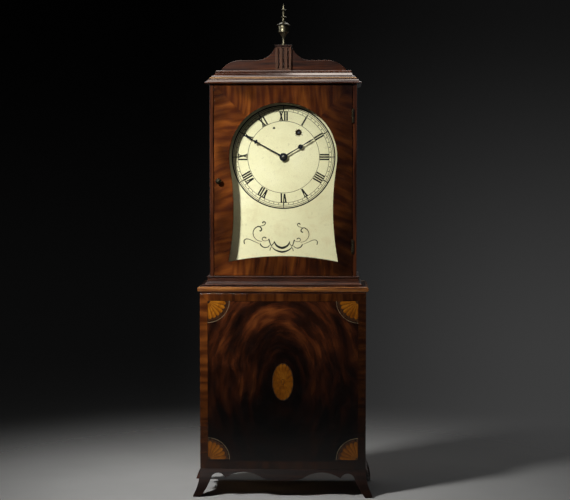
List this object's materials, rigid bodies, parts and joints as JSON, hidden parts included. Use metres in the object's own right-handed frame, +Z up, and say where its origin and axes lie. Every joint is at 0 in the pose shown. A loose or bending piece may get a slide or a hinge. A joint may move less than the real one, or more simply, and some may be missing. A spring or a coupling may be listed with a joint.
{
  "type": "shelf clock",
  "caption": "Inlaid mahogany shelf clock on flared feet: hinged hood door, painted dial and hands, weight-driven pendulum movement inside.",
  "frame": {"origin": "on the floor, under the middle of the clock's overall box", "axes": "+Z up, -Y out of the dial towards the viewer, +X to the viewer's right"},
  "size_m": [0.3232, 0.157, 0.889],
  "materials": {
    "mahogany_polished": "French-polished crotch and crossbanded mahogany veneer, warm gloss",
    "mahogany_plain": "polished straight-grained mahogany",
    "pine": "unfinished old pine",
    "satinwood": "polished satinwood shaded with hot sand",
    "aged_brass": "aged dull brass with greenish patina",
    "clock_brass": "lightly tarnished movement brass",
    "steel": "polished steel",
    "blued_steel": "blued steel, near black",
    "glass": "clear old glass",
    "dial_paint": "cream paint on iron, faintly crazed",
    "cast_iron": "rough dark cast iron",
    "gut": "gut line"
  },
  "bodies": {
    "case": {"base_front_panel": "mahogany_polished", "panel_inlays": "satinwood", "base_left_side": "mahogany_plain", "base_right_side": "mahogany_plain", "base_bottom_board": "pine", "base_top_board": "mahogany_plain", "base_top_moulding": "mahogany_polished", "front_apron": "mahogany_polished", "left_apron": "mahogany_polished", "right_apron": "mahogany_polished", "foot_blocks": "pine", "hood_left_side": "mahogany_plain", "hood_right_side": "mahogany_plain", "waist_moulding": "mahogany_polished", "hood_top_board": "pine", "cornice_moulding": "mahogany_polished", "crest_board": "mahogany_polished", "crest_plinth": "mahogany_polished", "finial": "aged_brass", "back_board": "pine", "seat_board": "pine", "dial_plate": "dial_paint", "front_plate": "clock_brass", "back_plate": "clock_brass", "plate_pillars": "clock_brass", "motion_studs": "steel", "back_cock": "clock_brass", "hinge_case_leaves": "aged_brass", "weight_line": "gut"},
    "door": {"door_frame": "mahogany_polished", "door_glass": "glass", "hinge_door_leaves": "aged_brass"},
    "knob": {"door_knob": "aged_brass", "latch_tongue": "aged_brass"},
    "second": {"second_arbor": "steel", "second_wheel": "clock_brass", "drive_wheel": "clock_brass"},
    "great": {"great_wheel": "clock_brass"},
    "click": {"click": "steel"},
    "third": {"third_arbor": "steel", "third_wheel": "clock_brass"},
    "escape": {"escape_arbor": "steel", "escape_wheel": "clock_brass"},
    "minute": {"cannon_wheel": "clock_brass", "minute_hand": "blued_steel", "hand_collet": "clock_brass"},
    "motion": {"minute_wheel": "clock_brass"},
    "hour": {"hour_wheel": "clock_brass", "hour_hand": "blued_steel"},
    "barrel": {"barrel": "clock_brass", "winding_arbor": "steel"},
    "weight": {"weight": "cast_iron", "pulley_stirrup": "clock_brass"},
    "pulley": {"pulley": "clock_brass"},
    "pendulum": {"pendulum_rod": "steel", "pendulum_bob": "clock_brass", "rating_nut": "clock_brass", "suspension_spring": "steel"},
    "pallets": {"pallet_arbor": "steel", "anchor_pallets": "steel"}
  },
  "joints": [
    {"name": "door_hinge", "type": "hinge", "parent": "case", "child": "door", "pos_m": [0.12495, -0.0518, 0.57], "axis": [0, 0, 1], "range_deg": [0, 110]},
    {"name": "knob_turn", "type": "hinge", "parent": "door", "child": "knob", "pos_m": [-0.116, -0.0495, 0.5689], "axis": [0, 1, 0], "range_deg": [-90, 0]},
    {"name": "second_turn", "type": "hinge", "parent": "case", "child": "second", "pos_m": [0, 0, 0.6425], "axis": [0, 1, 0], "continuous": true},
    {"name": "great_turn", "type": "hinge", "parent": "case", "child": "great", "pos_m": [0.0275, 0, 0.6573], "axis": [0, 1, 0], "continuous": true},
    {"name": "third_turn", "type": "hinge", "parent": "case", "child": "third", "pos_m": [-0.0175, 0, 0.65583], "axis": [0, 1, 0], "continuous": true},
    {"name": "escape_turn", "type": "hinge", "parent": "case", "child": "escape", "pos_m": [-0.002, 0, 0.66847], "axis": [0, 1, 0], "continuous": true},
    {"name": "minute_turn", "type": "hinge", "parent": "case", "child": "minute", "pos_m": [0, -0.02, 0.6129], "axis": [0, 1, 0], "continuous": true},
    {"name": "motion_turn", "type": "hinge", "parent": "case", "child": "motion", "pos_m": [0, -0.02, 0.5937], "axis": [0, 1, 0], "continuous": true},
    {"name": "hour_turn", "type": "hinge", "parent": "case", "child": "hour", "pos_m": [0, -0.025, 0.6129], "axis": [0, 1, 0], "continuous": true},
    {"name": "click_lift", "type": "hinge", "parent": "great", "child": "click", "pos_m": [0.01562, -0.007, 0.64898], "axis": [0, 1, 0], "range_deg": [0, 20], "stiffness_Nm_per_rad": 0.005, "springref_deg": -11.46},
    {"name": "weight_fall", "type": "slide", "parent": "case", "child": "weight", "axis": [0, 0, 1], "range_m": [-0.16, 0.16], "deforming": ["weight_line"]},
    {"name": "barrel_turn", "type": "hinge", "parent": "case", "child": "barrel", "pos_m": [0.0275, 0, 0.6573], "axis": [0, 1, 0], "range_deg": [-2826, 2826]},
    {"name": "pulley_turn", "type": "hinge", "parent": "weight", "child": "pulley", "pos_m": [0.046, 0.004, 0.38], "axis": [0, 1, 0], "range_deg": [-769, 769]},
    {"name": "pendulum_swing", "type": "hinge", "parent": "case", "child": "pendulum", "pos_m": [0, 0.032, 0.69101], "axis": [0, 1, 0], "range_deg": [-3, 3]},
    {"name": "pallet_rock", "type": "hinge", "parent": "case", "child": "pallets", "pos_m": [0, 0, 0.69101], "axis": [0, 1, 0], "range_deg": [-3.1, 3.1]}
  ],
  "couplings": [
    {"joint": "great_turn", "follows": "second_turn", "ratio": -0.083333},
    {"joint": "third_turn", "follows": "second_turn", "ratio": -10},
    {"joint": "escape_turn", "follows": "second_turn", "ratio": 90},
    {"joint": "minute_turn", "follows": "second_turn", "ratio": -1},
    {"joint": "motion_turn", "follows": "second_turn", "ratio": 0.33333},
    {"joint": "hour_turn", "follows": "second_turn", "ratio": -0.083333},
    {"joint": "barrel_turn", "follows": "weight_fall", "rad_per_m": -307.69},
    {"joint": "pulley_turn", "follows": "weight_fall", "rad_per_m": 83.333},
    {"joint": "pallet_rock", "follows": "pendulum_swing", "ratio": 1}
  ]
}
